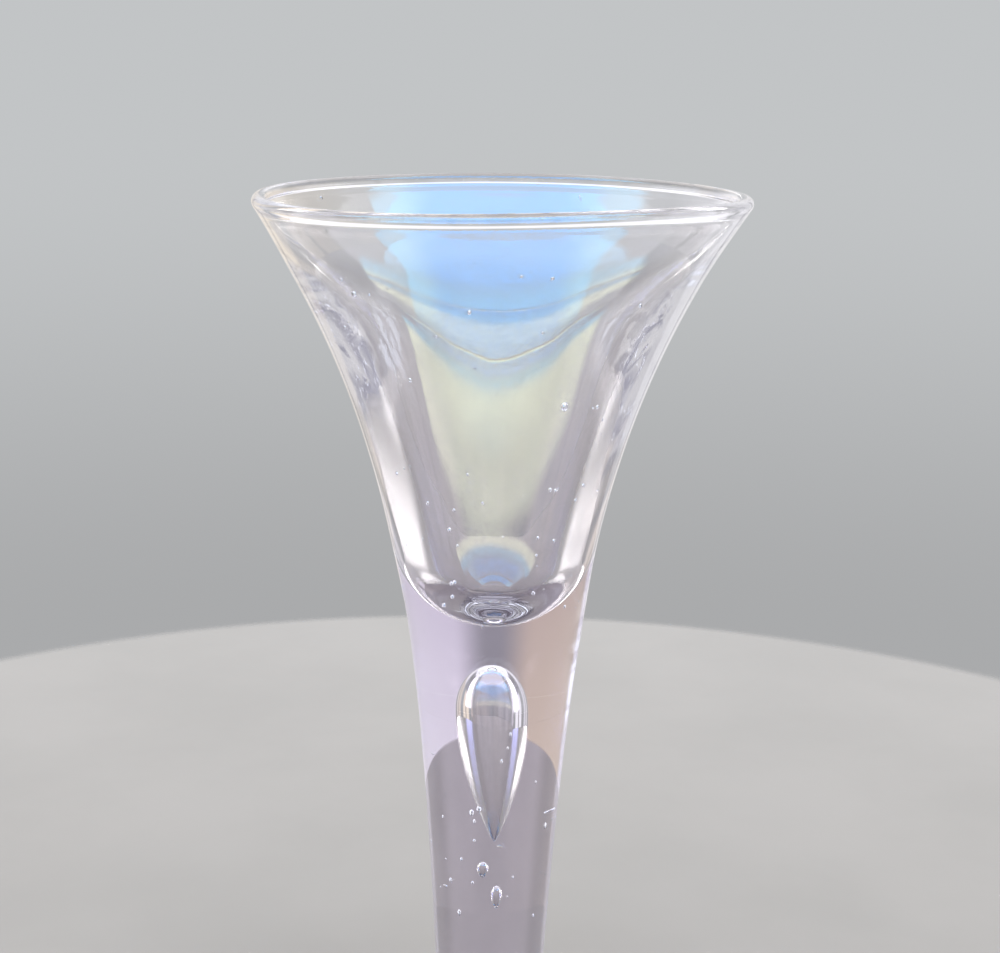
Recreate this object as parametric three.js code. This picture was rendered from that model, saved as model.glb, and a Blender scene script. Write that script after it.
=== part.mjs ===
import * as THREE from 'three';

// Drawn trumpet wine glass of clear lead glass, with a drop of air trapped in its stem.
// Millimetres, Z up. The glass stands on Z = 0 and its axis is the Z axis.
// Four pieces: the bowl with the thick glass under it, the drawn stem, the foot, and the scar of the
// pontil iron under the foot.
// Each piece is turned from a half outline, written as (radius, height) points.

// Whole glass
const glassHeight = 171;
const turnSteps = 56;

// Outer wall, from the lip down to the stem's waist in one curve
const lipRadius = 1.1;
const rimDiameter = 76.4;
const rimFlareAngle = 32.6;
const rimFlareReach = 42.2;
const waistDiameter = 18.34;
const waistHeight = 42;
const waistAngle = 3.3;
const waistReach = 60.5;

// Inside of the bowl. The lip's bead bulges a little over the neck, the start of the wall under it.
const bowlDepth = 67.2;
const lipTuckAngle = 8;
const neckDepth = 2.4;
const neckWall = 1.9;
const neckReach = 0.6;
const boreAngle = 24;
const boreReach = 16.1;
const baseWall = 6;
const floorRise = 10;
const floorAngle = 14.3;
const floorReach = 36.9;
const floorCornerReach = 5;
const floorFlatReach = 5.4;

// Tear: the drop of air in the stem, round above and drawn out to a point below
const glassOverTear = 6.8;
const tearDiameter = 7.4;
const tearDomeHeight = 8.3;
const tearTailLength = 23.4;
const tearShoulderReach = 9.5;
const tearTipRadius = 1.4;
const tearTipReach = 3.2;

// Lower stem, from the waist to its flared end on the foot
const stemEndDiameter = 22.4;
const stemEndHeight = 13.5;
const stemEndAngle = 45;
const stemEndReach = 7;
const stemLowerReach = 13;

// Foot
const footDiameter = 80;
const footEdgeRadius = 1.7;
const footTopAngle = 11;
const footTopReach = 15.5;
const footShoulderReach = 4.6;
const restRingWidth = 2.4;
const kickHeight = 6.4;
const kickAngle = 12;
const kickReach = 12;
const kickCrownReach = 9;
const pontilSeatRadius = 8.4;

// Pontil scar
const scarRadius = 6.6;
const scarThickness = 2.6;
const scarHollow = 1.1;
const scarRimWidth = 1.5;
const scarTurnSteps = 40;
const scarBigWaveShare = 0.055;
const scarSmallWaveShare = 0.03;

const radians = (degrees) => THREE.MathUtils.degToRad(degrees);

// A step along a line that leans by an angle from the upright: outwards and up
function lean(point, angle, length) {
  const a = radians(angle);
  return new THREE.Vector2(point.x + length * Math.sin(a), point.y + length * Math.cos(a));
}

// A point on a circle, at an angle in degrees from straight out
function onCircle(centre, radius, angle) {
  const a = radians(angle);
  return new THREE.Vector2(centre.x + radius * Math.cos(a), centre.y + radius * Math.sin(a));
}

// Points on a circle's arc
function arc(centre, radius, from, to, steps) {
  const points = [];
  for (let i = 0; i <= steps; i += 1) {
    points.push(onCircle(centre, radius, from + ((to - from) * i) / steps));
  }
  return points;
}

// Points on part of a curve, from one share of its length parameter to another
function stretch(curve, from, to, steps) {
  const points = [];
  for (let i = 0; i <= steps; i += 1) {
    points.push(curve.getPoint(from + ((to - from) * i) / steps));
  }
  return points;
}

// The place along a falling curve where it passes a height
function placeAtHeight(curve, height) {
  let above = 0;
  let below = 1;
  for (let i = 0; i < 50; i += 1) {
    const middle = (above + below) / 2;
    if (curve.getPoint(middle).y > height) above = middle;
    else below = middle;
  }
  return (above + below) / 2;
}

// Joins stretches into one outline and leaves out the point that two of them share
function joined(...stretches) {
  const sameShare = 0.001;
  const outline = [];
  for (const points of stretches) {
    for (const point of points) {
      const last = outline[outline.length - 1];
      if (!last || last.distanceTo(point) > sameShare * lipRadius) outline.push(point);
    }
  }
  return outline;
}

// Turns an outline round the Z axis. It starts and ends on the axis, and goes round the glass from below.
function turned(outline, steps) {
  const geometry = new THREE.LatheGeometry(outline, steps);
  geometry.rotateX(radians(90));
  return geometry;
}

// Outer wall of bowl and upper stem
const lipCentre = new THREE.Vector2(rimDiameter / 2 - lipRadius, glassHeight - lipRadius);
const wallTop = onCircle(lipCentre, lipRadius, -rimFlareAngle);
const waist = new THREE.Vector2(waistDiameter / 2, waistHeight);
const outerWall = new THREE.CubicBezierCurve(
  wallTop,
  lean(wallTop, rimFlareAngle, -rimFlareReach),
  lean(waist, waistAngle, waistReach),
  waist,
);

// Inner wall of the bowl from the lip's bead down, and the rounded floor under it
const lipInside = onCircle(lipCentre, lipRadius, 180 + lipTuckAngle);
const neckHeight = glassHeight - neckDepth;
const outerAtNeck = outerWall.getPoint(placeAtHeight(outerWall, neckHeight)).x;
const boreTop = new THREE.Vector2(outerAtNeck - neckWall, neckHeight);
const lipNeck = new THREE.CubicBezierCurve(
  lipInside,
  lean(lipInside, -lipTuckAngle, -neckReach),
  lean(boreTop, boreAngle, neckReach),
  boreTop,
);
const floorHeight = glassHeight - bowlDepth;
const floorCornerHeight = floorHeight + floorRise;
const outerAtCorner = outerWall.getPoint(placeAtHeight(outerWall, floorCornerHeight)).x;
const floorCorner = new THREE.Vector2(outerAtCorner - baseWall, floorCornerHeight);
const boreWall = new THREE.CubicBezierCurve(
  boreTop,
  lean(boreTop, boreAngle, -boreReach),
  lean(floorCorner, floorAngle, floorReach),
  floorCorner,
);
const boreFloor = new THREE.CubicBezierCurve(
  floorCorner,
  lean(floorCorner, floorAngle, -floorCornerReach),
  new THREE.Vector2(floorFlatReach, floorHeight),
  new THREE.Vector2(0, floorHeight),
);

// Tear: its dome goes into the bowl's base and its tail into the stem, and both meet at its widest level
const tearTop = floorHeight - glassOverTear;
const tearWidest = tearTop - tearDomeHeight;
const tearRadius = tearDiameter / 2;
const tearTip = new THREE.Vector2(0, tearWidest - tearTailLength);
const tearTail = new THREE.CubicBezierCurve(
  tearTip,
  new THREE.Vector2(tearTipRadius, tearTip.y + tearTipReach),
  new THREE.Vector2(tearRadius, tearWidest - tearShoulderReach),
  new THREE.Vector2(tearRadius, tearWidest),
);

function tearDome(steps) {
  const quarterRound = arc(new THREE.Vector2(0, 0), 1, 90, 0, steps);
  return quarterRound.map(
    (share) => new THREE.Vector2(tearRadius * share.x, tearWidest + tearDomeHeight * share.y),
  );
}

const jointPlace = placeAtHeight(outerWall, tearWidest);

function makeTrumpetBowl() {
  const outline = joined(
    tearDome(6),
    stretch(outerWall, jointPlace, 0, 20),
    arc(lipCentre, lipRadius, -rimFlareAngle, 90, 4),
    arc(lipCentre, lipRadius, 90, 180 + lipTuckAngle, 3),
    stretch(lipNeck, 0, 1, 3),
    stretch(boreWall, 0, 1, 14),
    stretch(boreFloor, 0, 1, 7),
  );
  return turned(outline, turnSteps);
}

// Lower stem, from its waist out to the flared end that stands on the foot
const stemEnd = new THREE.Vector2(stemEndDiameter / 2, stemEndHeight);
const lowerStem = new THREE.CubicBezierCurve(
  waist,
  lean(waist, waistAngle, -stemLowerReach),
  lean(stemEnd, -stemEndAngle, stemEndReach),
  stemEnd,
);

function makeDrawnStem() {
  const outline = joined(
    [new THREE.Vector2(0, stemEndHeight)],
    stretch(lowerStem, 1, 0, 12),
    stretch(outerWall, 1, jointPlace, 10),
    stretch(tearTail, 1, 0, 10),
  );
  return turned(outline, turnSteps);
}

// Foot: a low cone that carries on from the stem's flare, with a round edge, a flat ring to rest on and an
// underside that kicks up to the pontil's seat
const edgeCentre = new THREE.Vector2(footDiameter / 2 - footEdgeRadius, footEdgeRadius);
const footTopEnd = onCircle(edgeCentre, footEdgeRadius, 90 - footTopAngle);
const footTop = new THREE.CubicBezierCurve(
  stemEnd,
  lean(stemEnd, -stemEndAngle, -footShoulderReach),
  lean(footTopEnd, footTopAngle - 90, footTopReach),
  footTopEnd,
);
const restRingInside = new THREE.Vector2(edgeCentre.x - restRingWidth, 0);
const pontilSeat = new THREE.Vector2(pontilSeatRadius, kickHeight);
const kick = new THREE.CubicBezierCurve(
  restRingInside,
  lean(restRingInside, kickAngle - 90, kickReach),
  new THREE.Vector2(pontilSeatRadius + kickCrownReach, kickHeight),
  pontilSeat,
);

function makeFoot() {
  const outline = joined(
    [new THREE.Vector2(0, kickHeight)],
    stretch(kick, 1, 0, 9),
    arc(edgeCentre, footEdgeRadius, -90, 90 - footTopAngle, 7),
    stretch(footTop, 1, 0, 12),
    [new THREE.Vector2(0, stemEndHeight)],
  );
  return turned(outline, turnSteps);
}

// Pontil scar: a thin disc of glass with a snapped, uneven edge round a shallow hollow
function scarWave(turn) {
  const threeLobes = Math.sin(3 * turn + 0.6);
  const sevenLobes = Math.sin(7 * turn + 1.9);
  return scarBigWaveShare * threeLobes + scarSmallWaveShare * sevenLobes;
}

// A ring of points whose radius and height follow the snapped edge's wave
function scarRing(radius, height, radiusWave, heightWave) {
  const points = [];
  for (let i = 0; i < scarTurnSteps; i += 1) {
    const turn = (2 * Math.PI * i) / scarTurnSteps;
    const r = radius + radiusWave * scarWave(turn);
    points.push(r * Math.cos(turn), r * Math.sin(turn), height + heightWave * scarWave(2 - turn));
  }
  return points;
}

function makePontilScar() {
  const top = kickHeight;
  const low = kickHeight - scarThickness;
  const middle = (top + low) / 2;
  const hollow = low + scarHollow;
  const rings = [
    scarRing(scarRadius, top, 0, 0),
    scarRing(scarRadius - scarRimWidth / 3, middle, scarRadius, scarThickness),
    scarRing(scarRadius - scarRimWidth, low, scarRadius, 2 * scarThickness),
    scarRing(scarRadius - 2 * scarRimWidth, hollow, scarRadius, scarThickness),
  ];
  const vertices = rings.flat();
  vertices.push(0, 0, top, 0, 0, hollow);
  const topCentre = rings.length * scarTurnSteps;
  const lowCentre = topCentre + 1;
  const faces = [];
  for (let i = 0; i < scarTurnSteps; i += 1) {
    const next = (i + 1) % scarTurnSteps;
    faces.push(topCentre, i, next);
    for (let k = 0; k + 1 < rings.length; k += 1) {
      const a = k * scarTurnSteps;
      const b = a + scarTurnSteps;
      faces.push(a + i, b + i, b + next, a + i, b + next, a + next);
    }
    const inner = (rings.length - 1) * scarTurnSteps;
    faces.push(lowCentre, inner + next, inner + i);
  }
  const geometry = new THREE.BufferGeometry();
  geometry.setAttribute('position', new THREE.Float32BufferAttribute(vertices, 3));
  geometry.setIndex(faces);
  return geometry;
}

// Clear lead glass with a faint grey-lilac cast
function leadGlass(colour, roughness) {
  return new THREE.MeshStandardMaterial({ color: colour, roughness, metalness: 0 });
}

function piece(name, geometry, material) {
  const mesh = new THREE.Mesh(geometry, material);
  mesh.name = name;
  return mesh;
}

const goblet = new THREE.Group();
goblet.add(piece('trumpet_bowl', makeTrumpetBowl(), leadGlass(0xdfe0ea, 0.03)));
goblet.add(piece('drawn_stem', makeDrawnStem(), leadGlass(0xd8d9e4, 0.03)));
goblet.add(piece('foot', makeFoot(), leadGlass(0xdadbe6, 0.05)));
goblet.add(piece('pontil_scar', makePontilScar(), leadGlass(0xc9ccd6, 0.35)));

export default goblet;
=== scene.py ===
import math
import random

import bmesh
import bpy
from mathutils import Matrix, Vector


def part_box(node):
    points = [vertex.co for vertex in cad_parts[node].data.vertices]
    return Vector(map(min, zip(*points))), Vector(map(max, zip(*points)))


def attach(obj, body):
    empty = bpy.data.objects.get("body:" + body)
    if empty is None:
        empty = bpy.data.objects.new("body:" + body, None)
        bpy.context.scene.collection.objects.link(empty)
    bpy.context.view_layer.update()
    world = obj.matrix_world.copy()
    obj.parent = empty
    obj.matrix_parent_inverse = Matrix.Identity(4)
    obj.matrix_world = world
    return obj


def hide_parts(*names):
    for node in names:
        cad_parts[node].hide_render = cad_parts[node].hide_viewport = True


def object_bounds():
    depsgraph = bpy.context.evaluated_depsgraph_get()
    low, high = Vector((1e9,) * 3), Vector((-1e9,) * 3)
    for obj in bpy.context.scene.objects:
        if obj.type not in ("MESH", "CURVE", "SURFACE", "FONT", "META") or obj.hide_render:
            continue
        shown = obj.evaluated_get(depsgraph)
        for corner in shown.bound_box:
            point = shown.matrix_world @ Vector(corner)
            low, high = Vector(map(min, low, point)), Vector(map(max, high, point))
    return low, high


# Drawn trumpet wine glass of clear lead glass, with a tear of air in its stem.
# Metres, Z up. A turn of 0 degrees faces the camera, and +90 is the +X side.

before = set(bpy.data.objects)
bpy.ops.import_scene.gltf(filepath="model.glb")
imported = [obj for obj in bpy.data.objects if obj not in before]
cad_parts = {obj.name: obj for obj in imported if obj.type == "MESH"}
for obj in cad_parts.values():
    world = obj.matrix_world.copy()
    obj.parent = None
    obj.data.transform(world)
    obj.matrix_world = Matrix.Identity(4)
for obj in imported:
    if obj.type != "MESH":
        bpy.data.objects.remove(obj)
cadLow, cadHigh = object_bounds()
bowlLow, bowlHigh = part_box("trumpet_bowl")
stemLow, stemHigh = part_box("drawn_stem")
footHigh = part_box("foot")[1]
print("frame loaded:", ", ".join(sorted(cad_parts)))

mesh = {
    "turnSteps": 288,
    "ringGap": 0.0005,       # height of one row of faces on a wall
    "jointGap": 0.00001,     # between the facing ends of two pieces
    "jointRow": 0.0001,      # a thin row at each joint keeps the shading level across it
    "halvings": 50,          # to find where a curve passes a height
    "lengthSteps": 40,       # to measure how long a curve is
    "seedRoundness": 2,      # how often a bubble's faces are divided
}


# Outlines, as (radius, height) points

def lean(point, angle, length):
    # a step along a line that leans by an angle from the upright, outwards and up
    a = math.radians(angle)
    return (point[0] + length * math.sin(a), point[1] + length * math.cos(a))


def onCircle(centre, radius, angle):
    a = math.radians(angle)
    return (centre[0] + radius * math.cos(a), centre[1] + radius * math.sin(a))


def curvePoint(curve, t):
    s = 1 - t
    weights = (s * s * s, 3 * s * s * t, 3 * s * t * t, t * t * t)
    return tuple(sum(w * p[k] for w, p in zip(weights, curve)) for k in (0, 1))


def placeAtHeight(curve, height):
    # where a falling curve passes a height
    above, below = 0.0, 1.0
    for _ in range(mesh["halvings"]):
        middle = (above + below) / 2
        if curvePoint(curve, middle)[1] > height:
            above = middle
        else:
            below = middle
    return (above + below) / 2


def stretch(curve, start, end, steps):
    return [curvePoint(curve, start + (end - start) * i / steps) for i in range(steps + 1)]


def arc(centre, radius, start, end, steps):
    return [onCircle(centre, radius, start + (end - start) * i / steps) for i in range(steps + 1)]


def rowsFor(curve, start=0.0, end=1.0):
    # how many rows a stretch of curve needs
    points = stretch(curve, start, end, mesh["lengthSteps"])
    length = sum(math.dist(a, b) for a, b in zip(points, points[1:]))
    return max(2, math.ceil(length / mesh["ringGap"]))


def smooth(low, high, value):
    t = min(max((value - low) / (high - low), 0.0), 1.0)
    return t * t * (3 - 2 * t)


def mixed(a, b, t):
    return a + (b - a) * t


# What the maker's hand left off the true round

hand = {
    "rimOval": 0.00016,
    "rimOvalTurn": 0.5,
    "rimTilt": 0.0113,           # the lip stands higher on the right
    "tiltFrom": 0.09,
    "tiltFull": 0.13,
    "rimWarps": ((2, 0, 0.576, 0.00024), (3, 0, 0.17, 0.00012)),     # all waves as waveSum has them
    "warpFrom": 0.135,
    "axisShift": -0.00009,
    "bowedShift": -0.0004,       # the bowl's axis bows a little to the left
    "bowFrom": 0.1,
    "bowFull": 0.118,
    "bowLast": 0.158,
    "outerWaves": ((3, 20, 1.1, 0.00005), (7, -26, 0.4, 0.00002)),
    "innerWaves": ((5, 14, 2.0, 0.00006), (9, -18, 0.7, 0.000022), (17, 9, 1.3, 0.000006)),
    "innerFadeRadius": 0.012,
    "tearOval": 0.00008,
    "tearLeanTop": -0.0003,
    "tearLeanTip": 0.00027,
}


def waveSum(waves, angle, z):
    # each wave is (lobes round the glass, radians per metre of height, start, size)
    return sum(size * math.sin(lobes * angle + rate * z + start) for lobes, rate, start, size in waves)


def rimOval(angle, z):
    share = smooth(hand["tiltFrom"], bowlHigh.z, z)
    return hand["rimOval"] * share * math.cos(2 * (angle - hand["rimOvalTurn"]))


def turnedPoint(r, z, angle):
    x = r * math.sin(angle)
    tilt = hand["rimTilt"] * smooth(hand["tiltFrom"], hand["tiltFull"], z)
    warp = waveSum(hand["rimWarps"], angle, z) * smooth(hand["warpFrom"], bowlHigh.z, z)
    bow = smooth(hand["bowFrom"], hand["bowFull"], z) * (1 - smooth(hand["bowLast"], bowlHigh.z, z))
    shift = hand["axisShift"] * smooth(0, waist[1], z) + hand["bowedShift"] * bow
    return Vector((x + shift, -r * math.cos(angle), z + tilt * x + warp))


def outside(r, z, angle):
    return turnedPoint(r + rimOval(angle, z) + waveSum(hand["outerWaves"], angle, z), z, angle)


def inside(r, z, angle):
    fade = smooth(0, hand["innerFadeRadius"], r)
    wave = waveSum(hand["innerWaves"], angle, z)
    return turnedPoint(r + rimOval(angle, z) * fade + wave * fade, z, angle)


def lipBetween(share):
    # the lip goes over from the outer wall's waves to the inner wall's
    def place(r, z, angle):
        return outside(r, z, angle).lerp(inside(r, z, angle), share)
    return place


def tearWall(r, z, angle):
    share = (z - tear["tip"]) / (tear["top"] - tear["tip"])
    shift = mixed(hand["tearLeanTip"], hand["tearLeanTop"], share)
    oval = hand["tearOval"] * math.cos(2 * angle) * r / tear["radius"]
    return turnedPoint(r + oval, z, angle) + Vector((shift, 0, 0))


# Turning outlines into closed meshes. A ring is (radius, height, place, slot, sharp):
# slot is the material of the row that follows it, and sharp marks a corner.

glassSlot, jointSlot = 0, 1


def ringsAlong(points, place):
    return [(r, z, place, glassSlot, False) for r, z in points]


def turnedMesh(rings):
    bm = bmesh.new()
    steps = mesh["turnSteps"]
    loops = []
    for r, z, place, slot, sharp in rings:
        count = 1 if r == 0 else steps
        loops.append([bm.verts.new(place(r, z, math.tau * i / steps)) for i in range(count)])
    for lower, upper, ring in zip(loops, loops[1:], rings):
        for i in range(steps):
            j = (i + 1) % steps
            places = ((lower, i), (lower, j), (upper, j), (upper, i))
            corners = [loop[k % len(loop)] for loop, k in places]
            face = bm.faces.new(list(dict.fromkeys(corners)))       # at the axis it has three corners
            face.smooth = True
            face.material_index = ring[3]
    for loop, ring in zip(loops, rings):
        if ring[4]:
            for a, b in zip(loop, loop[1:] + loop[:1]):
                bm.edges.get((a, b)).smooth = False
    bmesh.ops.recalc_face_normals(bm, faces=bm.faces)
    return bm


def finishPiece(name, bm, node, materials):
    data = bpy.data.meshes.new(name)
    bm.to_mesh(data)
    bm.free()
    for material in materials:
        data.materials.append(material)
    piece = bpy.data.objects.new(name, data)
    bpy.context.scene.collection.objects.link(piece)
    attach(piece, "root")
    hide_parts(node)
    print("made", name, "with", len(data.polygons), "faces")


# Seeds: small bubbles of air left in the glass. Each is a closed hollow, its faces turned into it.

def addSeed(bm, centre, radius, height, taper=0.0):
    made = bmesh.ops.create_icosphere(bm, subdivisions=mesh["seedRoundness"], radius=1.0)
    for vert in made["verts"]:
        width = radius * (1 + taper * vert.co.z)
        vert.co = centre + Vector((vert.co.x * width, vert.co.y * width, vert.co.z * height))
    faces = list({face for vert in made["verts"] for face in vert.link_faces})
    bmesh.ops.reverse_faces(bm, faces=faces)
    for face in faces:
        face.smooth = True
        face.material_index = glassSlot


# Materials

def newMaterial(name):
    material = bpy.data.materials.new(name)
    material.use_nodes = True
    material.node_tree.nodes.clear()
    return material, material.node_tree


def addNode(tree, kind, settings=None, inputs=None):
    node = tree.nodes.new(kind)
    for key, value in (settings or {}).items():
        setattr(node, key, value)
    for key, value in (inputs or {}).items():
        if isinstance(value, bpy.types.NodeSocket):
            tree.links.new(value, node.inputs[key])
        else:
            node.inputs[key].default_value = value
    return node


def maths(tree, operation, first, second=0.0):
    return addNode(tree, "ShaderNodeMath", {"operation": operation}, {0: first, 1: second}).outputs[0]


def times(tree, first, second):
    return maths(tree, "MULTIPLY", first, second)


def ranged(tree, value, fromLow, fromHigh, toLow, toHigh):
    settings = {"interpolation_type": "SMOOTHSTEP"}
    inputs = {"Value": value, "From Min": fromLow, "From Max": fromHigh, "To Min": toLow, "To Max": toHigh}
    return addNode(tree, "ShaderNodeMapRange", settings, inputs).outputs["Result"]


def blended(tree, share, first, second):
    return addNode(tree, "ShaderNodeMix", {"data_type": "RGBA"}, {
        "Factor": share,
        "A": first if isinstance(first, bpy.types.NodeSocket) else (*first, 1),
        "B": second if isinstance(second, bpy.types.NodeSocket) else (*second, 1),
    }).outputs["Result"]


def passed(tree, value, edge):
    # 0 at the edge's first value and 1 at its second
    return ranged(tree, value, edge[0], edge[1], 0, 1)


def noise(tree, place, scale, detail):
    settings = {"Vector": place, "Scale": scale, "Detail": detail}
    return addNode(tree, "ShaderNodeTexNoise", None, settings).outputs["Fac"]


glassLook = {
    "index": 1.55,
    "depth": 0.02,                        # the depth of glass that gives the tint
    "deepest": 0.036,                     # the most depth that counts
    "tint": (0.66, 0.615, 0.70),          # faint grey-lilac of old lead glass
    "surface": (0.985, 0.982, 0.99),
    "surfaceDull": (0.955, 0.95, 0.962),
    "filmScale": 90,
    "filmDetail": 5,
    "filmEdge": (0.42, 0.68),
    "roughEdge": (0.35, 0.7),
    "wornBelow": None,                    # the height up to which resting has worn it
    "wornRoughness": 0.35,
    "streakScale": (420, 420, 14),        # narrow streaks that run up the wall
    "streakDetail": 1,
    "streakDepth": 0.00006,
    "mirror": (1.0, 1.0, 1.0),
}
pieceGlass = {
    # each piece's roughness goes from clean to handled glass
    "bowlGlass": {"roughness": (0.0, 0.012), "streaks": 0.1},
    "stemGlass": {"roughness": (0.0, 0.012), "streaks": 0.06},
    "footGlass": {
        "roughness": (0.004, 0.03),
        "streaks": 0.05,
        "wornBelow": 0.0006,
        "mirror": (0.2, 0.1, 0.04),       # weaker and warmer, to take less of the window's blue
    },
    "scarGlass": {"roughness": (0.12, 0.4), "streaks": 1.0},
}


def leadGlass(name):
    look = {**glassLook, **pieceGlass[name]}
    material, tree = newMaterial(name)
    place = addNode(tree, "ShaderNodeTexCoord").outputs["Object"]

    # faint film of handling: patches that are a little duller and less clear
    patches = noise(tree, place, look["filmScale"], look["filmDetail"])
    film = passed(tree, patches, look["filmEdge"])
    surface = blended(tree, film, look["surface"], look["surfaceDull"])

    # the glass takes light away by how far it went inside, so only on its way out;
    # twice the power, because light that goes through takes the root of a surface's colour
    outwards = addNode(tree, "ShaderNodeNewGeometry").outputs["Backfacing"]
    length = addNode(tree, "ShaderNodeLightPath").outputs["Ray Length"]
    depth = times(tree, maths(tree, "MINIMUM", length, look["deepest"]), outwards)
    power = times(tree, depth, 2 / look["depth"])
    left = [maths(tree, "POWER", channel, power) for channel in look["tint"]]
    channels = dict(zip(("Red", "Green", "Blue"), left))
    inner = addNode(tree, "ShaderNodeCombineColor", None, channels).outputs["Color"]
    colour = addNode(tree, "ShaderNodeMix", {"data_type": "RGBA", "blend_type": "MULTIPLY"}, {
        "Factor": 1.0,
        "A": surface,
        "B": inner,
    }).outputs["Result"]

    rough = ranged(tree, patches, *look["roughEdge"], *look["roughness"])
    if look["wornBelow"]:
        height = addNode(tree, "ShaderNodeSeparateXYZ", None, {"Vector": place}).outputs["Z"]
        wear = ranged(tree, height, look["wornBelow"], 0.0, 0.0, look["wornRoughness"])
        rough = maths(tree, "ADD", rough, wear)

    streaks = addNode(tree, "ShaderNodeVectorMath", {"operation": "MULTIPLY"}, {
        0: place,
        1: look["streakScale"],
    }).outputs["Vector"]
    bump = addNode(tree, "ShaderNodeBump", None, {
        "Strength": look["streaks"],
        "Distance": look["streakDepth"],
        "Height": noise(tree, streaks, 1.0, look["streakDetail"]),
    }).outputs["Normal"]

    shader = addNode(tree, "ShaderNodeBsdfPrincipled", None, {
        "Base Color": colour,
        "Roughness": rough,
        "Normal": bump,
        "IOR": look["index"],
        "Specular Tint": (*look["mirror"], 1),
        "Transmission Weight": 1.0,
    })
    addNode(tree, "ShaderNodeOutputMaterial", None, {"Surface": shader.outputs["BSDF"]})
    return material


def weldedFace():
    # where two pieces are fused, nothing shows between them
    material, tree = newMaterial("weldedFace")
    clear = addNode(tree, "ShaderNodeBsdfTransparent", None, {"Color": (1, 1, 1, 1)})
    addNode(tree, "ShaderNodeOutputMaterial", None, {"Surface": clear.outputs["BSDF"]})
    return material


bowlGlass = leadGlass("bowlGlass")
stemGlass = leadGlass("stemGlass")
footGlass = leadGlass("footGlass")
scarGlass = leadGlass("scarGlass")
welded = weldedFace()
print("materials made")


# Bowl and upper stem: one outer wall, the bore and the tear

wall = {
    "lipRadius": 0.0011,
    "lipRows": 20,
    "rimFlareAngle": 32.6,
    "rimFlareReach": 0.0422,
    "waistRadius": 0.00917,
    "waistHeight": 0.042,
    "waistAngle": 3.3,
    "waistReach": 0.0605,
}
bore = {
    "floorHeight": 0.1038,
    "lipTuck": 8,                 # the lip's bead bulges over the wall below it
    "neckDepth": 0.0024,
    "neckWall": 0.0019,
    "neckReach": 0.0006,
    "neckRows": 8,
    "topAngle": 24,
    "topReach": 0.0161,
    "baseWall": 0.006,
    "floorRise": 0.01,
    "floorAngle": 14.3,
    "floorReach": 0.0369,
    "cornerReach": 0.005,
    "flatReach": 0.0054,
}
tear = {
    "top": 0.097,
    "widest": (bowlLow.z + stemHigh.z) / 2,
    "radius": 0.0037,
    "tip": 0.0653,
    "shoulderReach": 0.0095,
    "tipRadius": 0.0014,
    "tipReach": 0.0032,
    "domeRows": 16,
}

lipCentre = (bowlHigh.x - wall["lipRadius"], bowlHigh.z - wall["lipRadius"])
wallTop = onCircle(lipCentre, wall["lipRadius"], -wall["rimFlareAngle"])
waist = (wall["waistRadius"], wall["waistHeight"])
outerWall = (
    wallTop,
    lean(wallTop, wall["rimFlareAngle"], -wall["rimFlareReach"]),
    lean(waist, wall["waistAngle"], wall["waistReach"]),
    waist,
)

lipInside = onCircle(lipCentre, wall["lipRadius"], 180 + bore["lipTuck"])
neckHeight = bowlHigh.z - bore["neckDepth"]
boreTop = (curvePoint(outerWall, placeAtHeight(outerWall, neckHeight))[0] - bore["neckWall"], neckHeight)
lipNeck = (
    lipInside,
    lean(lipInside, -bore["lipTuck"], -bore["neckReach"]),
    lean(boreTop, bore["topAngle"], bore["neckReach"]),
    boreTop,
)
cornerHeight = bore["floorHeight"] + bore["floorRise"]
cornerRadius = curvePoint(outerWall, placeAtHeight(outerWall, cornerHeight))[0] - bore["baseWall"]
floorCorner = (cornerRadius, cornerHeight)
boreWall = (
    boreTop,
    lean(boreTop, bore["topAngle"], -bore["topReach"]),
    lean(floorCorner, bore["floorAngle"], bore["floorReach"]),
    floorCorner,
)
boreFloor = (
    floorCorner,
    lean(floorCorner, bore["floorAngle"], -bore["cornerReach"]),
    (bore["flatReach"], bore["floorHeight"]),
    (0, bore["floorHeight"]),
)

tearTip = (0, tear["tip"])
tearTail = (
    tearTip,
    (tear["tipRadius"], tear["tip"] + tear["tipReach"]),
    (tear["radius"], tear["widest"] - tear["shoulderReach"]),
    (tear["radius"], tear["widest"]),
)


def tearDome():
    # from the tear's widest ring up to its top
    rise = tear["top"] - tear["widest"]
    quarter = arc((0, 0), 1, 0, 90, tear["domeRows"])
    points = [(tear["radius"] * x, tear["widest"] + rise * y) for x, y in quarter]
    return points[:-1] + [(0, tear["top"])]       # the last one lies on the axis


def outerRadius(z):
    return curvePoint(outerWall, placeAtHeight(outerWall, z))[0]


def innerRadius(z):
    if z >= cornerHeight:
        return curvePoint(boreWall, placeAtHeight(boreWall, z))[0]
    return curvePoint(boreFloor, placeAtHeight(boreFloor, z))[0] if z > bore["floorHeight"] else 0.0


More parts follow.
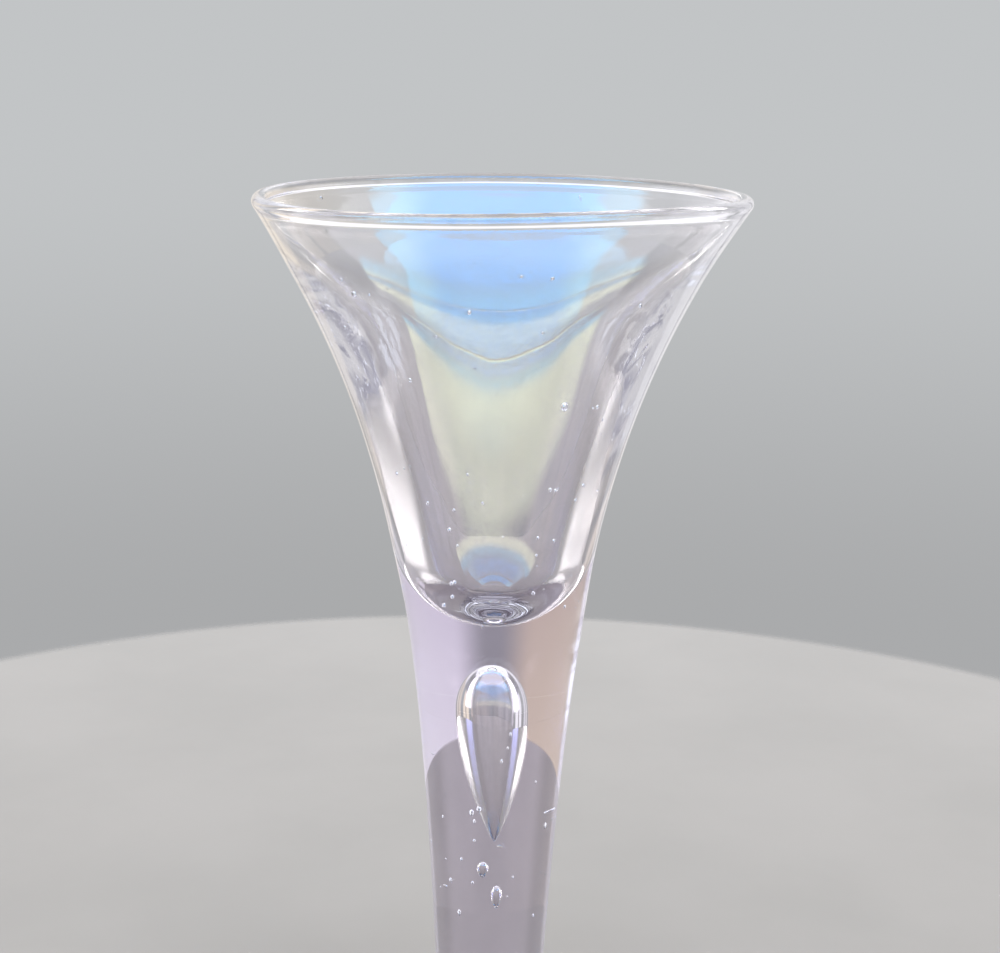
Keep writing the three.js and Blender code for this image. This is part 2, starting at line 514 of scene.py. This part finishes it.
bowlSeeds = {
    # (turn in degrees, height, radius): those that show most
    "placed": (
        (-124, 0.1678, 0.00028), (158, 0.1672, 0.00022),
        (-43, 0.1609, 0.0003), (-40.4, 0.1589, 0.00042), (-35, 0.1590, 0.0002),
        (-51.7, 0.1532, 0.00028), (-7.3, 0.1570, 0.0003), (-17.6, 0.1532, 0.0002),
        (-30.4, 0.1460, 0.0003), (5.4, 0.1622, 0.0002), (12.9, 0.1618, 0.00024),
        (41.9, 0.1569, 0.0003), (12.9, 0.1538, 0.00022), (25.9, 0.1420, 0.0006),
        (41, 0.1414, 0.0003), (-52.9, 0.1297, 0.0003), (-35.6, 0.1257, 0.00026),
        (-20.8, 0.1251, 0.00024), (-24.6, 0.1217, 0.0003), (-27.7, 0.1124, 0.0003),
        (-25.2, 0.1127, 0.0003), (-28.5, 0.1101, 0.0003), (-37, 0.1083, 0.00034),
        (47, 0.1283, 0.00024), (61.3, 0.1265, 0.00026), (27.5, 0.1284, 0.0003),
        (30.5, 0.1282, 0.00026), (44.6, 0.1260, 0.00024), (25, 0.1204, 0.00024),
        (25.7, 0.1174, 0.00022), (35.7, 0.1196, 0.00024), (26.7, 0.1109, 0.0003),
    ),
    "placedStretch": 1.25,
    "loose": 42,
    "looseHeights": (0.105, 0.163),
    "looseDepths": (0.4, 0.6),        # share of the way from the inner wall to the outer
    "looseRadii": (0.0001, 0.00022),
    "looseStretch": (1, 1.6),
    "seed": 11,
}


def addBowlSeeds(bm):
    for turn, z, radius in bowlSeeds["placed"]:
        r = mixed(innerRadius(z), outerRadius(z), 0.5)
        addSeed(bm, outside(r, z, math.radians(turn)), radius, radius * bowlSeeds["placedStretch"])
    draw = random.Random(bowlSeeds["seed"])
    for _ in range(bowlSeeds["loose"]):
        z = draw.uniform(*bowlSeeds["looseHeights"])
        r = mixed(innerRadius(z), outerRadius(z), draw.uniform(*bowlSeeds["looseDepths"]))
        radius = draw.uniform(*bowlSeeds["looseRadii"])
        place = outside(r, z, draw.uniform(-math.pi, math.pi))
        addSeed(bm, place, radius, radius * draw.uniform(*bowlSeeds["looseStretch"]))


def makeBowl():
    joint = tear["widest"] + mesh["jointGap"] / 2
    nearJoint = placeAtHeight(outerWall, tear["widest"] + mesh["jointRow"])
    rows = rowsFor(outerWall, 0, nearJoint)
    jointRadius = outerRadius(tear["widest"])
    rings = ringsAlong(reversed(tearDome()), tearWall)
    rings[-1] = (tear["radius"], joint, tearWall, jointSlot, True)
    rings += [(jointRadius, joint, outside, glassSlot, True)]
    rings += ringsAlong(stretch(outerWall, nearJoint, 0, rows)[:-1], outside)
    lip = arc(lipCentre, wall["lipRadius"], -wall["rimFlareAngle"], 180 + bore["lipTuck"], wall["lipRows"])
    for i, (r, z) in enumerate(lip):
        rings.append((r, z, lipBetween(i / wall["lipRows"]), glassSlot, False))
    rings += ringsAlong(stretch(lipNeck, 0, 1, bore["neckRows"])[1:], inside)
    rings += ringsAlong(stretch(boreWall, 0, 1, rowsFor(boreWall))[1:], inside)
    rings += ringsAlong(stretch(boreFloor, 0, 1, rowsFor(boreFloor))[1:], inside)
    bm = turnedMesh(rings)
    addBowlSeeds(bm)
    finishPiece("trumpetBowl", bm, "trumpet_bowl", (bowlGlass, welded))


# Stem: drawn down from the bowl, with the tear's tail in it, and flared out onto the foot

stem = {
    "endRadius": 0.0112,
    "endHeight": stemLow.z,
    "endAngle": 45,
    "endReach": 0.007,
    "lowerReach": 0.013,
}
stemEnd = (stem["endRadius"], stem["endHeight"])
lowerStem = (
    waist,
    lean(waist, wall["waistAngle"], -stem["lowerReach"]),
    lean(stemEnd, -stem["endAngle"], stem["endReach"]),
    stemEnd,
)
stemSeeds = {
    # (turn, height, share of the way out to the wall, radius, half height, taper)
    "placed": (
        (-148, 0.0598, 0.15, 0.00054, 0.0015, 0.3),
        (68, 0.0552, 0.066, 0.00054, 0.0022, 0.35),
        (-19, 0.0726, 0.82, 0.00034, 0.0006, 0.2),
        (-12, 0.0734, 0.82, 0.0004, 0.0005, 0.1),
        (-17, 0.0711, 0.80, 0.0002, 0.0004, 0.0),
        (-51, 0.0705, 0.85, 0.0002, 0.0003, 0.0),
        (60, 0.0686, 0.85, 0.0003, 0.0006, 0.2),
        (-17, 0.0676, 0.80, 0.0002, 0.0003, 0.0),
        (-31, 0.0638, 0.80, 0.0002, 0.0003, 0.0),
        (-44, 0.0594, 0.84, 0.00026, 0.0004, 0.0),
        (-19, 0.0599, 0.80, 0.0002, 0.0003, 0.0),
        (-34, 0.0539, 0.84, 0.00028, 0.0006, 0.2),
        (54, 0.0525, 0.80, 0.0002, 0.0003, 0.0),
        (15, 0.0867, 0.80, 0.0002, 0.0004, 0.0),
        (13, 0.0843, 0.80, 0.00016, 0.0003, 0.0),
        (8, 0.0820, 0.80, 0.00018, 0.0004, 0.0),
    ),
    "loose": 14,
    "looseHeights": (0.046, 0.086),
    "looseRadii": (0.0001, 0.0002),
    "looseShares": (0.55, 0.92),
    "looseStretch": (1, 2),
    "seed": 23,
}


def addStemSeeds(bm):
    for turn, z, share, radius, halfHeight, taper in stemSeeds["placed"]:
        addSeed(bm, outside(outerRadius(z) * share, z, math.radians(turn)), radius, halfHeight, taper)
    draw = random.Random(stemSeeds["seed"])
    for _ in range(stemSeeds["loose"]):
        z = draw.uniform(*stemSeeds["looseHeights"])
        radius = draw.uniform(*stemSeeds["looseRadii"])
        r = outerRadius(z) * draw.uniform(*stemSeeds["looseShares"])
        place = outside(r, z, draw.uniform(-math.pi, math.pi))
        addSeed(bm, place, radius, radius * draw.uniform(*stemSeeds["looseStretch"]))


def makeStem():
    joint = tear["widest"] - mesh["jointGap"] / 2
    bottom = stemEnd[1] + mesh["jointGap"] / 2
    nearJoint = placeAtHeight(outerWall, tear["widest"] - mesh["jointRow"])
    nearFoot = placeAtHeight(lowerStem, stemEnd[1] + mesh["jointRow"])
    rings = [(0, bottom, outside, jointSlot, False)]
    rings += [(stemEnd[0], bottom, outside, glassSlot, True)]
    rings += ringsAlong(stretch(lowerStem, nearFoot, 0, rowsFor(lowerStem, 0, nearFoot))[:-1], outside)
    rings += ringsAlong(stretch(outerWall, 1, nearJoint, rowsFor(outerWall, nearJoint, 1)), outside)
    rings += [(outerRadius(tear["widest"]), joint, outside, jointSlot, True)]
    rings += [(tear["radius"], joint, tearWall, glassSlot, True)]
    rings += ringsAlong(stretch(tearTail, 1, 0, rowsFor(tearTail))[1:], tearWall)
    bm = turnedMesh(rings)
    addStemSeeds(bm)
    finishPiece("drawnStem", bm, "drawn_stem", (stemGlass, welded))


# Foot, and the pontil's scar under it

foot = {
    "radius": footHigh.x,
    "edgeRadius": 0.0017,
    "edgeRows": 14,
    "topAngle": 11,
    "topReach": 0.0155,
    "shoulderReach": 0.0046,
    "restRingWidth": 0.0024,
    "kickHeight": 0.0064,
    "kickAngle": 12,
    "kickReach": 0.012,
    "crownReach": 0.009,
    "seatRadius": 0.0084,
    "edgeOval": ((2, 1.7, 0.00025), (3, 0.4, 0.000125)),     # (lobes, start, size)
    "edgeLift": (2, 0.9, 0.00022),
    "turningRings": 0.000022,     # faint rings left as the hot foot was spun
    "ringSpacing": 0.0031,
}
scar = {
    "radius": 0.0066,
    "thickness": 0.0026,
    "hollow": 0.0011,
    "rimWidth": 0.0015,
    "taper": 0.0005,              # how much narrower it is below
    "outlineWaves": ((3, 0, 0.6, 0.055), (7, 0, 1.9, 0.03)),     # as a share of its radius
    "rows": 14,
    "cornerEvery": 5,             # rows between the sharp ridges in its hollow
    "hollowEdge": 0.7,
    "chips": 7,
    "chipLobes": (4, 17),
    "chipRates": (-900, 900),     # radians per metre, outwards and up
    "chipSizes": (0.00003, 0.00009),
    "chipLean": 0.5,
    "seed": 5,
}


def footSpread(r):
    return smooth(stem["endRadius"], foot["radius"], r)


def footOuter(r, z, angle):
    oval = sum(size * math.cos(lobes * angle + start) for lobes, start, size in foot["edgeOval"])
    return outside(r + oval * footSpread(r), z, angle)


def footTopSide(r, z, angle):
    point = footOuter(r, z, angle)
    rings = foot["turningRings"] * math.sin(math.tau * r / foot["ringSpacing"])
    lobes, start, size = foot["edgeLift"]
    lift = size * math.sin(lobes * angle + start)
    point.z += (rings + lift) * footSpread(r)
    return point


def onScarOutline(r, z, angle):
    return turnedPoint(r * (1 + waveSum(scar["outlineWaves"], angle, 0)), z, angle)


edgeCentre = (foot["radius"] - foot["edgeRadius"], foot["edgeRadius"])
footTopEnd = onCircle(edgeCentre, foot["edgeRadius"], 90 - foot["topAngle"])
footTop = (
    stemEnd,
    lean(stemEnd, -stem["endAngle"], -foot["shoulderReach"]),
    lean(footTopEnd, foot["topAngle"] - 90, foot["topReach"]),
    footTopEnd,
)
restInside = (edgeCentre[0] - foot["restRingWidth"], 0)
kick = (
    restInside,
    lean(restInside, foot["kickAngle"] - 90, foot["kickReach"]),
    (foot["seatRadius"] + foot["crownReach"], foot["kickHeight"]),
    (foot["seatRadius"], foot["kickHeight"]),
)


def makeFoot():
    top = stemEnd[1] - mesh["jointGap"] / 2
    seat = foot["kickHeight"]
    nearStem = placeAtHeight(footTop, stemEnd[1] - mesh["jointRow"])
    rings = [(0, top, outside, jointSlot, False)]
    rings += [(stemEnd[0], top, outside, glassSlot, True)]
    rings += ringsAlong(stretch(footTop, nearStem, 1, rowsFor(footTop)), footTopSide)
    edge = arc(edgeCentre, foot["edgeRadius"], 90 - foot["topAngle"], -90, foot["edgeRows"])
    rings += ringsAlong(edge[1:], footOuter)
    rings += ringsAlong(stretch(kick, 0, 1, rowsFor(kick)), footOuter)
    rings += [(scar["radius"], seat, onScarOutline, jointSlot, True)]
    rings += [(0, seat, turnedPoint, jointSlot, False)]
    bm = turnedMesh(rings)
    finishPiece("foot", bm, "foot", (footGlass, welded))


def makeScar():
    top = foot["kickHeight"] - mesh["jointGap"]
    low = top - scar["thickness"]
    draw = random.Random(scar["seed"])
    chips = []
    for _ in range(scar["chips"]):
        lobes = draw.randint(*scar["chipLobes"])
        rate = draw.uniform(*scar["chipRates"])
        start = draw.uniform(0, math.tau)
        chips.append((lobes, rate, start, draw.uniform(*scar["chipSizes"])))

    def snapped(r, z, angle):
        # the break is uneven below and flush with the foot above
        down = smooth(top, low, z)
        away = waveSum(chips, angle, r + z) * down * smooth(0, scar["rimWidth"], r)
        aside = scar["chipLean"] * away
        chip = Vector((aside * math.sin(angle), -aside * math.cos(angle), away))
        return onScarOutline(r, z, angle) + chip

    rows = scar["rows"]
    rings = [(0, top, turnedPoint, jointSlot, False), (scar["radius"], top, onScarOutline, glassSlot, True)]
    for i in range(1, rows + 1):
        r = scar["radius"] - scar["taper"] * i / rows
        rings.append((r, mixed(top, low, i / rows), snapped, glassSlot, i == rows))
    inner = scar["radius"] - scar["rimWidth"]
    for i in range(1, rows + 1):
        share = i / rows
        hollow = low + scar["hollow"] * smooth(0, scar["hollowEdge"], share)
        ridge = i % scar["cornerEvery"] == 0 and i < rows
        rings.append((mixed(inner, 0, share), hollow, snapped, glassSlot, ridge))
    bm = turnedMesh(rings)
    finishPiece("pontilScar", bm, "pontil_scar", (scarGlass, welded))


makeBowl()
makeStem()
makeFoot()
makeScar()


# Floor: a pale round table top, which the studio shows beyond

floor = {
    "radius": 0.268,
    "middle": (0, 0.046),         # the glass stands a little in front of the table's middle
    "fade": (0.258, 0.265),       # a soft edge, from the table's middle
    "segments": 160,
    "drop": 0.0002,
    "colour": (0.47, 0.455, 0.445),
    "colourWorn": (0.43, 0.418, 0.408),
    "wornScale": 14,
    "wornDetail": 4,
    "wornEdge": (0.3, 0.7),
    "roughness": 0.16,
    "gloss": 0.5,
    "dullWithin": (0.12, 0.055),  # from the glass's axis: nearer, the foot would mirror the table's gloss
}


def makeFloor():
    bm = bmesh.new()
    bmesh.ops.create_circle(bm, cap_ends=True, segments=floor["segments"], radius=floor["radius"])
    data = bpy.data.meshes.new("tableTop")
    bm.to_mesh(data)
    bm.free()
    table = bpy.data.objects.new("tableTop", data)
    table.location = (*floor["middle"], cadLow.z - floor["drop"])
    bpy.context.scene.collection.objects.link(table)

    material, tree = newMaterial("paleTable")
    place = addNode(tree, "ShaderNodeTexCoord").outputs["Object"]
    patches = noise(tree, place, floor["wornScale"], floor["wornDetail"])
    colour = blended(tree, passed(tree, patches, floor["wornEdge"]), floor["colour"], floor["colourWorn"])
    fromGlass = addNode(tree, "ShaderNodeVectorMath", {"operation": "DISTANCE"}, {
        0: place,
        1: (-floor["middle"][0], -floor["middle"][1], 0),
    }).outputs["Value"]
    gloss = ranged(tree, fromGlass, *floor["dullWithin"], floor["gloss"], 0.0)
    paint = addNode(tree, "ShaderNodeBsdfPrincipled", None, {
        "Base Color": colour,
        "Roughness": floor["roughness"],
        "Specular IOR Level": gloss,
    })
    beyond = addNode(tree, "ShaderNodeBsdfTransparent")
    fromMiddle = addNode(tree, "ShaderNodeVectorMath", {"operation": "LENGTH"}, {0: place}).outputs["Value"]
    edge = addNode(tree, "ShaderNodeMixShader", None, {
        0: passed(tree, fromMiddle, floor["fade"]),
        1: paint.outputs["BSDF"],
        2: beyond.outputs["BSDF"],
    })
    addNode(tree, "ShaderNodeOutputMaterial", None, {"Surface": edge.outputs["Shader"]})
    data.materials.append(material)


# Studio: a pale backdrop all round that darkens softly towards the table, with white cards and narrow dark
# flags that repeat all round it and draw the glass's edges. A wide blue window stands on the camera's side,
# a glare behind the glass and smaller lights beside it. These show only to rays that were mirrored.
# Turns are as above, and heights are from the level, both in degrees.

studio = {
    "backdrop": (0.54, 0.555, 0.565),
    "backdropLow": (0.40, 0.405, 0.412),
    "shade": (-19, -3),
    "cardRight": (1.16, 1.15, 1.2),
    "cardLeft": (1.12, 1.0, 0.84),
    "cardsRound": 8.0,               # cards and flags repeat every 45 degrees, by a cosine
    "cardEdge": (0.75, 0.2),
    "flag": (0.3, 0.295, 0.305),
    "flagEdge": (-0.95, -0.99),
    "cardMiddle": (-0.5, 0.5),
    "backShare": 0.65,               # the cards straight behind the stem are weaker
    "backBowlShare": 0.2,            # and those behind the bowl weaker still
    "backEdge": (0.6, 0.8),
    "cardTop": (6, 13),
    "room": (0.42, 0.42, 0.43),      # above the cards, between the side light and the back light
    "sideLight": (0.74, 0.75, 0.78),
    "sideEdge": (112, 96),
    "stemCardTurns": (84, 96, 160, 178),
    "stemCool": (1.16, 1.15, 1.2),
    "stemWarm": (0.94, 0.82, 0.64),
    "stemMiddle": (-0.1, 0.1),
    "stemEdge": (1.55, 1.53, 1.6),
    "stemEdgeTurns": (116, 106),
    "backLight": (1.2, 1.2, 1.22),
    "backTurn": (138, 152),
    "overhead": (1.3, 1.3, 1.32),
    "overheadEdge": (50, 58),
    "soft": (1.03, 1.03, 1.03),      # what the table's paint is lit by
    "window": (0.2, 3.0, 7.4),
    "windowPale": (1.8, 4.6, 6.8),
    "windowWhite": (2.3, 2.5, 2.9),  # as it shows after two mirrorings or more
    "windowPaleTurns": (-74, -54, 50, 70),
    "windowArea": ((-98, -88, 82, 84), (25, 34, 66, 70)),        # turns, then heights
    "windowOverTable": (32, 37),     # the table is kept from mirroring the window's lower edge
    "windowLow": (1.2, 4.6, 6.4),
    "windowBase": (8.4, 9.2, 5.6),
    "windowBaseEdge": (15, 24),
    "windowLowArea": ((-112, -102, 98, 102), (4.5, 11.5, 24, 34)),
    "glare": (25, 24.4, 23.6),       # seen by way of the table behind the glass and the bowl's base
    "glareTurns": (121, 131, 168, 176),
    "glareHeight": (14, 19),
    "glareSlope": 0.35,              # the glare ends on a slant, lower for each degree of turn
    "glareEnd": (80.8, 79.6),
    "glareStart": (70.5, 74),
    "glareLowArea": ((128, 138, 170, 179), (37, 41, 54, 60)),
    "lilac": (3.0, 3.2, 6.5),        # beside the glare, for the lines in the tear's tail
    "lilacArea": ((80, 86, 108, 116), (8, 14, 50, 60)),
    "rimLight": (2.3, 2.3, 2.4),     # draws the white arch in the tear
    "rimLightArea": ((80, 86, 112, 118), (-9, -5, 60, 66)),
    "guided": (0.74, 0.74, 0.76),    # what light that ran round inside the wall brings
    "guidedHigh": (0.32, 0.32, 0.4),
    "guidedEdge": (8, 22),
    "guidedTop": (34, 27),
}


def within(tree, value, edges):
    # 1 between the two middle edges, and 0 outside the outer two
    start, startFull, endFull, end = edges
    return times(tree, passed(tree, value, (start, startFull)), passed(tree, value, (end, endFull)))


def isCount(tree, value, count):
    off = maths(tree, "ABSOLUTE", maths(tree, "SUBTRACT", value, count))
    return maths(tree, "SUBTRACT", 1.0, maths(tree, "MINIMUM", 1.0, off))


def isOver(tree, value, count):
    return maths(tree, "GREATER_THAN", value, count + 0.5)


def makeStudio():
    world = bpy.data.worlds.new("studio")
    bpy.context.scene.world = world
    world.use_nodes = True
    world.cycles.sampling_method = "NONE"
    tree = world.node_tree
    tree.nodes.clear()
    direction = addNode(tree, "ShaderNodeTexCoord").outputs["Generated"]
    split = addNode(tree, "ShaderNodeSeparateXYZ", None, {"Vector": direction})
    x, y, up = (split.outputs[k] for k in "XYZ")
    azimuth = maths(tree, "ARCTAN2", x, times(tree, y, -1.0))
    turn = maths(tree, "DEGREES", azimuth)
    side = maths(tree, "ABSOLUTE", turn)
    height = maths(tree, "DEGREES", maths(tree, "ARCSINE", up))

    # what a ray finds depends on its way: how often it was mirrored, and through how many surfaces it went
    path = addNode(tree, "ShaderNodeLightPath")
    mirrors, surfaces = path.outputs["Glossy Depth"], path.outputs["Transmission Depth"]
    direct, inAndOut = isCount(tree, surfaces, 0), isCount(tree, surfaces, 2)
    viaBowl = isOver(tree, surfaces, 3)
    straight = times(tree, inAndOut, isCount(tree, mirrors, 0))
    through = times(tree, isCount(tree, mirrors, 1), viaBowl)
    turnedOnce = times(tree, isCount(tree, mirrors, 1), inAndOut)
    turnedTwice = times(tree, isCount(tree, mirrors, 2), inAndOut)

    def area(around, edges):
        return times(tree, within(tree, around, edges[0]), within(tree, height, edges[1]))

    # backdrop with cards and flags, and with wider cards where the stem is seen straight through
    shade = passed(tree, height, studio["shade"])
    backdrop = blended(tree, shade, studio["backdropLow"], studio["backdrop"])
    repeats = maths(tree, "COSINE", times(tree, azimuth, studio["cardsRound"]))
    backShare = ranged(tree, viaBowl, 0, 1, studio["backShare"], studio["backBowlShare"])
    strength = ranged(tree, passed(tree, y, studio["backEdge"]), 0, 1, 1, backShare)
    cards = times(tree, strength, passed(tree, repeats, studio["cardEdge"]))
    flags = times(tree, strength, passed(tree, repeats, studio["flagEdge"]))
    card = blended(tree, passed(tree, x, studio["cardMiddle"]), studio["cardLeft"], studio["cardRight"])
    band = blended(tree, flags, blended(tree, cards, backdrop, card), studio["flag"])
    stemSides = blended(tree, passed(tree, x, studio["stemMiddle"]), studio["stemWarm"], studio["stemCool"])
    stemCard = blended(tree, passed(tree, side, studio["stemEdgeTurns"]), stemSides, studio["stemEdge"])
    stemBand = blended(tree, within(tree, side, studio["stemCardTurns"]), backdrop, stemCard)
    band = blended(tree, straight, band, stemBand)

    # the room above them
    sides = blended(tree, passed(tree, side, studio["sideEdge"]), studio["room"], studio["sideLight"])
    upper = blended(tree, passed(tree, side, studio["backTurn"]), sides, studio["backLight"])
    walls = blended(tree, passed(tree, height, studio["cardTop"]), band, upper)
    whole = blended(tree, passed(tree, height, studio["overheadEdge"]), walls, studio["overhead"])

    # window, blue above and going over to cream below
    full = within(tree, turn, studio["windowPaleTurns"])
    blue = blended(tree, full, studio["windowPale"], studio["window"])
    blue = blended(tree, isOver(tree, mirrors, 1), blue, studio["windowWhite"])
    aboveBase = passed(tree, height, studio["windowBaseEdge"])
    base = blended(tree, aboveBase, studio["windowBase"], studio["windowLow"])
    overTable = ranged(tree, direct, 0, 1, 1, passed(tree, height, studio["windowOverTable"]))
    high = times(tree, area(turn, studio["windowArea"]), overTable)

    # glare, a slanting part and a lower one
    slant = maths(tree, "ADD", height, times(tree, side, studio["glareSlope"]))
    aboveTable = passed(tree, height, studio["glareHeight"])
    glareHigh = times(tree, aboveTable, passed(tree, slant, studio["glareEnd"]))
    glareHigh = times(tree, glareHigh, passed(tree, slant, studio["glareStart"]))
    glareHigh = times(tree, within(tree, side, studio["glareTurns"]), glareHigh)
    glare = maths(tree, "MAXIMUM", glareHigh, area(side, studio["glareLowArea"]))

    ranRound = times(tree, isOver(tree, mirrors, 3), passed(tree, height, studio["guidedTop"]))
    aboveEdge = passed(tree, height, studio["guidedEdge"])
    guided = blended(tree, aboveEdge, studio["guided"], studio["guidedHigh"])
    lights = (
        (times(tree, isOver(tree, mirrors, 0), high), blue),
        (times(tree, through, area(turn, studio["windowLowArea"])), base),
        (times(tree, turnedOnce, area(side, studio["rimLightArea"])), studio["rimLight"]),
        (times(tree, turnedTwice, area(side, studio["lilacArea"])), studio["lilac"]),
        (times(tree, turnedTwice, glare), studio["glare"]),
        (ranRound, guided),
    )
    for share, light in lights:
        whole = blended(tree, share, whole, light)
    evened = blended(tree, path.outputs["Is Diffuse Ray"], whole, studio["soft"])
    seen = blended(tree, path.outputs["Is Camera Ray"], evened, backdrop)
    background = addNode(tree, "ShaderNodeBackground", None, {"Color": seen, "Strength": 1.0})
    addNode(tree, "ShaderNodeOutputWorld", None, {"Surface": background.outputs["Background"]})


camera = {
    "lens": 63,
    "place": (0.0003, -0.2701, 0.1932),
    "pitch": 13.95,
    "roll": 1.0,
    "sensor": 36,
    "clip": (0.01, 20),
}
render = {
    "bounces": 160,               # light goes to and fro in glass many times
    "clamp": 14,
}


def makeCamera():
    data = bpy.data.cameras.new("camera")
    data.lens = camera["lens"]
    data.sensor_width = camera["sensor"]
    data.sensor_fit = "HORIZONTAL"
    data.clip_start, data.clip_end = camera["clip"]
    holder = bpy.data.objects.new("camera", data)
    level = Matrix.Rotation(math.radians(90 - camera["pitch"]), 4, "X")
    roll = Matrix.Rotation(math.radians(camera["roll"]), 4, "Z")
    holder.matrix_world = Matrix.Translation(camera["place"]) @ level @ roll
    bpy.context.scene.collection.objects.link(holder)
    bpy.context.scene.camera = holder


def setRender():
    scene = bpy.context.scene
    scene.view_settings.view_transform = "Standard"
    for kind in ("max_bounces", "transmission_bounces", "glossy_bounces", "transparent_max_bounces"):
        setattr(scene.cycles, kind, render["bounces"])
    scene.cycles.sample_clamp_indirect = render["clamp"]


makeFloor()
makeStudio()
makeCamera()
setRender()
print("studio, camera and floor made")
